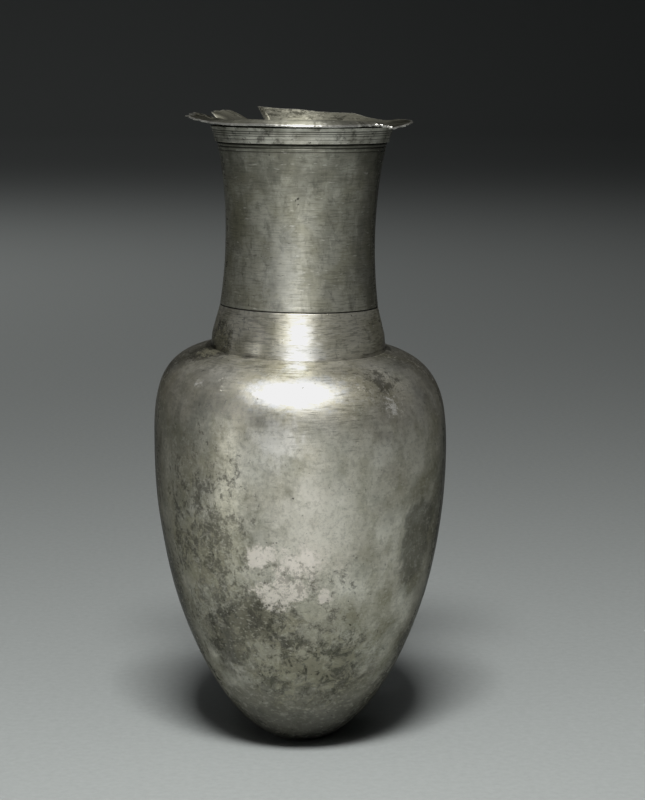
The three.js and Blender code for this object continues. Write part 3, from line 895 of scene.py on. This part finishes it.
# The band's silver is dull, with dirt in its fine turned grooves
bandSilver = {**neckSilver, "bright": "#e4e2d6", "tarnished": "#a8a699", "cloudSize": 5.0, "layers": [
    {"grain": 3.0, "detail": 5, "fuzz": 0.7, "cover": (0.52, 0.66), "strength": 0.65, "tint": "#4e4c43",
     "roughness": 0.6},
    {"grain": 0.6, "stretch": (4, 4, 1), "cover": (0.6, 0.72), "strength": 0.5, "tint": "#f6f4ea"},
    {"grain": 1.0, "cover": (0.64, 0.72), "strength": 0.9, "tint": "#262520", "height": -0.05},
]}

# Old solder in the joints: dark grey, matt and grainy
solderGrey = {**neckSilver, "bright": "#5c5a52", "tarnished": "#3c3b35", "roughness": 0.65, "cloudSize": 2.0,
              "metallic": 0.7, "layers": []}

# The shoulder's solder lies under the collar's foot, and is paler and less eaten
solderPale = {**collarSilver, "bright": "#c9c7bb", "tarnished": "#8d8b7f", "cloudSize": 4.0, "layers": [
    {"grain": 2.0, "detail": 5, "fuzz": 0.7, "cover": (0.5, 0.62), "strength": 0.7, "tint": "#4e4c43"},
]}

for look, name, pieces in (
    (bodySilver, "tarnishedRaisedSilver", [bodyPiece]),
    (collarSilver, "burnishedSilver", [collarPiece]),
    (neckSilver, "tarnishedNeckSilver", [neckPiece]),
    (bandSilver, "dullBandSilver", [bandPiece]),
    (solderGrey, "corrodedSolder", [collarSolder, bandSolder]),
    (solderPale, "scrapedSolder", [shoulderSolder]),
):
    material = tarnishedSilver(name, look)
    for piece in pieces:
        piece.data.materials.append(material)
print("materials made")

# Floor, light and camera
studio = {
    "floorColour": "#a5a9a7",
    "worldColour": "#1c1d1e",
    "wallRadius": 8.0,          # metres; the floor turns up into a wall there, far behind the light
    "wallHeight": 4.0,
    "sweep": 3.0,
    "filmCurve": [(0.25, 0.25), (0.5, 0.5), (0.75, 0.73)],
    "filmTop": (1.0, 0.87),
    "grain": 0.0022,            # metres across the paper's flecks, coarser than real ones so that they show
}
lights = {                      # places, aims and sizes in metres, power in watts, spread in degrees
    "keySoftbox": {"place": (-0.015, -0.42, 0.76), "aim": (-0.02, -0.3, 0), "size": (0.24, 0.165),
                   "power": 7.9, "spread": 180},
    "wideSoftbox": {"place": (-0.015, -0.4, 0.85), "aim": (-0.02, -0.2, 0), "size": (0.75, 0.45),
                    "power": 1.0, "spread": 180},
    "sideSnoot": {"place": (-0.51, -0.345, 0.12), "aim": (0, 0, 0.05), "size": (0.07, 0.06),
                  "power": 0.0032, "spread": 13},
    "backdropWash": {"place": (-0.65, 1.0, 1.5), "aim": (-0.75, 1.65, 0), "size": (0.8, 0.8),
                     "power": 4.5, "spread": 120},
    "farWash": {"place": (-0.9, 4.0, 2.6), "aim": (-0.9, 6.0, 0), "size": (1.5, 1.5),
                "power": 2, "spread": 130},
}


def makeFloor():
    bm = bmesh.new()
    sweep, wall = studio["sweep"], studio["wallRadius"]
    ring = [(0, 0)] + [(wall - sweep, 0)] + [
        (wall - sweep + sweep * math.sin(turn), sweep * (1 - math.cos(turn)))
        for turn in [math.pi / 2 * k / 16 for k in range(1, 17)]] + [(wall, studio["wallHeight"])]
    marks = [bm.verts.new((r, 0, z)) for r, z in ring]
    for a, b in zip(marks, marks[1:]):
        bm.edges.new((a, b))
    bmesh.ops.spin(bm, geom=bm.verts[:] + bm.edges[:], cent=(0, 0, 0), axis=(0, 0, 1),
                   angle=math.tau, steps=96, use_merge=True)
    bmesh.ops.remove_doubles(bm, verts=bm.verts, dist=0.001)
    bmesh.ops.recalc_face_normals(bm, faces=bm.faces)
    for face in bm.faces:
        face.smooth = True
    mesh = bpy.data.meshes.new("floor")
    bm.to_mesh(mesh)
    bm.free()
    floor = bpy.data.objects.new("floor", mesh)
    bpy.context.scene.collection.objects.link(floor)
    # a roll of grey studio paper: matt, with a faint fleck
    material, tree, shader = newMaterial("floorPaper")
    place = addNode(tree, "ShaderNodeTexCoord", {}).outputs["Object"]
    fibres = addNode(tree, "ShaderNodeTexNoise", {"Vector": place, "Scale": 1 / studio["grain"], "Detail": 6,
                                                  "Roughness": 0.75}).outputs["Fac"]
    shade = addNode(tree, "ShaderNodeMapRange", {"Value": fibres, "From Min": 0.3, "From Max": 0.7,
                                                 "To Min": 0.93, "To Max": 1.07}).outputs["Result"]
    paper = addNode(tree, "ShaderNodeVectorMath", {0: colour(studio["floorColour"])[:3], 1: shade},
                    operation="MULTIPLY").outputs["Vector"]
    bump = addNode(tree, "ShaderNodeBump", {"Height": fibres, "Distance": 0.1 * mm}).outputs["Normal"]
    tree.links.new(paper, shader.inputs["Base Color"])
    tree.links.new(bump, shader.inputs["Normal"])
    shader.inputs["Roughness"].default_value = 0.9
    shader.inputs["Specular IOR Level"].default_value = 0.1
    mesh.materials.append(material)


def makeLight(name, place, aim, size, power, spread):
    data = bpy.data.lights.new(name, "AREA")
    data.shape = "RECTANGLE"
    data.size, data.size_y = size
    data.energy = power
    data.spread = math.radians(spread)
    light = bpy.data.objects.new(name, data)
    bpy.context.scene.collection.objects.link(light)
    light.location = place
    light.rotation_euler = (Vector(aim) - Vector(place)).to_track_quat("-Z", "Y").to_euler()


def makeCamera():
    # the photograph's frame is 645 by 800 pixels; the focal length and tilt were worked out from it
    photo = {"focal": 2250.0, "long": 800.0, "sensor": 36.0, "pitch": 8.668, "yaw": 0.565,
             "distance": 0.61875, "height": 0.18994}
    data = bpy.data.cameras.new("camera")
    data.sensor_width = photo["sensor"]
    data.lens = photo["focal"] / photo["long"] * photo["sensor"]
    camera = bpy.data.objects.new("camera", data)
    bpy.context.scene.collection.objects.link(camera)
    camera.location = (0, -photo["distance"], photo["height"])
    camera.rotation_euler = (math.radians(90 - photo["pitch"]), 0, math.radians(-photo["yaw"]))
    bpy.context.scene.camera = camera


def makeFilm():
    # the photograph's whites roll off softly and stop short of full white
    look = bpy.context.scene.view_settings
    look.view_transform = "Standard"
    look.use_curve_mapping = True
    film = look.curve_mapping
    film.extend = "HORIZONTAL"
    points = film.curves[3].points          # the curve for all three colours together
    points[1].location = studio["filmTop"]
    for place in studio["filmCurve"]:
        points.new(*place)
    film.update()


makeFloor()
for name, lamp in lights.items():
    makeLight(name, **lamp)
makeCamera()
world = bpy.data.worlds.new("studio")
world.use_nodes = True
world.node_tree.nodes["Background"].inputs["Color"].default_value = colour(studio["worldColour"])
bpy.context.scene.world = world
makeFilm()
print("studio set")
